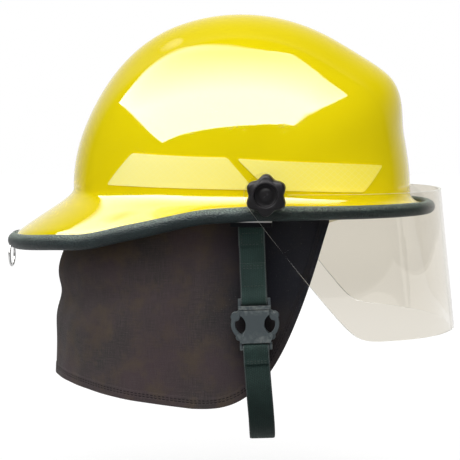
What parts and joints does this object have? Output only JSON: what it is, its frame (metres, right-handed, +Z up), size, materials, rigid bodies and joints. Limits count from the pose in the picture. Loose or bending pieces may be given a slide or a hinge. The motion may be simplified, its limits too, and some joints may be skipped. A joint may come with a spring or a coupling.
{
  "type": "fire helmet",
  "caption": "Fire helmet with a clear drop-down face shield, foam liner, webbing crown, ratchet headband, ear and neck curtain, buckled chin strap and a hanging ring.",
  "frame": {"origin": "centre of the space for the head, in the middle plane, on the line through the middle of the headband's rear arc's foot; the helmet is held there by the head it sits on", "axes": "+X to the front of the helmet, +Y to the wearer's left, +Z up to the crown"},
  "size_m": [0.3569, 0.3024, 0.331],
  "materials": {
    "shell": "moulded, glossy yellow",
    "beading": "dark green-black, slightly pebbled",
    "reflective": "lime-yellow reflective film",
    "nylon": "black moulded nylon",
    "steel": "zinc-plated",
    "clear_shield": "clear with a faint warm grey tint",
    "washer": "natural nylon",
    "brass": "turned",
    "foam": "cream closed-cell foam",
    "webbing": "dark green woven webbing",
    "padding": "soft knit over foam",
    "sweatband": "soft brown",
    "curtain": "brown-black flame-resistant cloth",
    "buckle_grey": "dark grey moulded"
  },
  "bodies": {
    "helmet": {"outer_shell": "shell", "edge_trim": "beading", "reflective_panels": "reflective", "pivot_brackets": "nylon", "bracket_screws": "steel", "pivot_studs": "steel", "stud_nuts": "steel", "friction_washers": "washer", "impact_liner": "foam", "crown_straps": "webbing", "crown_pad": "padding", "suspension_keys": "nylon", "headband": "nylon", "brow_pad": "sweatband", "ratchet_housing": "nylon", "nape_pad": "padding", "curtain_strip": "nylon", "ear_neck_curtain": "curtain", "strap_anchors": "steel", "anchor_rivets": "steel", "strap_upper": "webbing", "buckle_plug": "nylon", "buckle_socket": "buckle_grey", "strap_main": "webbing", "strap_slide": "nylon", "hanger_clip": "steel", "hanger_rivets": "steel"},
    "shield": {"face_shield": "clear_shield"},
    "knob_r": {"knob_right": "nylon", "insert_right": "brass"},
    "knob_l": {"knob_left": "nylon", "insert_left": "brass"},
    "fit_knob": {"fitting_knob": "nylon", "fitting_pinion": "steel"},
    "tail_r": {"band_tail_right": "nylon"},
    "tail_l": {"band_tail_left": "nylon"},
    "prong_r": {"prong_right": "nylon"},
    "prong_l": {"prong_left": "nylon"},
    "ring": {"hanging_ring": "steel"}
  },
  "joints": [
    {"name": "shield_tilt", "type": "hinge", "parent": "helmet", "child": "shield", "pos_m": [0.0425, 0, 0.0144], "axis": [0, -1, 0], "range_deg": [0, 62]},
    {"name": "knob_right_turn", "type": "hinge", "parent": "helmet", "child": "knob_r", "pos_m": [0.0425, -0.145, 0.0144], "axis": [0, -1, 0], "range_deg": [0, 180]},
    {"name": "knob_left_turn", "type": "hinge", "parent": "helmet", "child": "knob_l", "pos_m": [0.0425, 0.145, 0.0144], "axis": [0, 1, 0], "range_deg": [0, 180]},
    {"name": "fit_turn", "type": "hinge", "parent": "helmet", "child": "fit_knob", "pos_m": [-0.1, 0, -0.03], "axis": [-1, 0, 0], "range_deg": [-120, 180]},
    {"name": "tail_right_slide", "type": "hinge", "parent": "helmet", "child": "tail_r", "pos_m": [-0.02, 0, -0.03], "axis": [0, 0, 1], "range_deg": [-13.6, 9.1]},
    {"name": "tail_left_slide", "type": "hinge", "parent": "helmet", "child": "tail_l", "pos_m": [-0.02, 0, -0.03], "axis": [0, 0, 1], "range_deg": [-9.1, 13.6]},
    {"name": "prong_right_squeeze", "type": "hinge", "parent": "helmet", "child": "prong_r", "pos_m": [0.04078, -0.114, -0.06945], "axis": [0, 1, 0], "range_deg": [0, 6], "stiffness_Nm_per_rad": 0.5},
    {"name": "prong_left_squeeze", "type": "hinge", "parent": "helmet", "child": "prong_l", "pos_m": [0.02527, -0.114, -0.0701], "axis": [0, 1, 0], "range_deg": [-6, 0], "stiffness_Nm_per_rad": 0.5},
    {"name": "ring_swing", "type": "hinge", "parent": "helmet", "child": "ring", "pos_m": [-0.16971, 0, -0.03142], "axis": [0, 1, 0], "range_deg": [-50, 100]}
  ],
  "couplings": [
    {"joint": "tail_right_slide", "follows": "fit_turn", "ratio": -0.075},
    {"joint": "tail_left_slide", "follows": "fit_turn", "ratio": 0.075},
    {"joint": "prong_left_squeeze", "follows": "prong_right_squeeze", "ratio": -1}
  ]
}
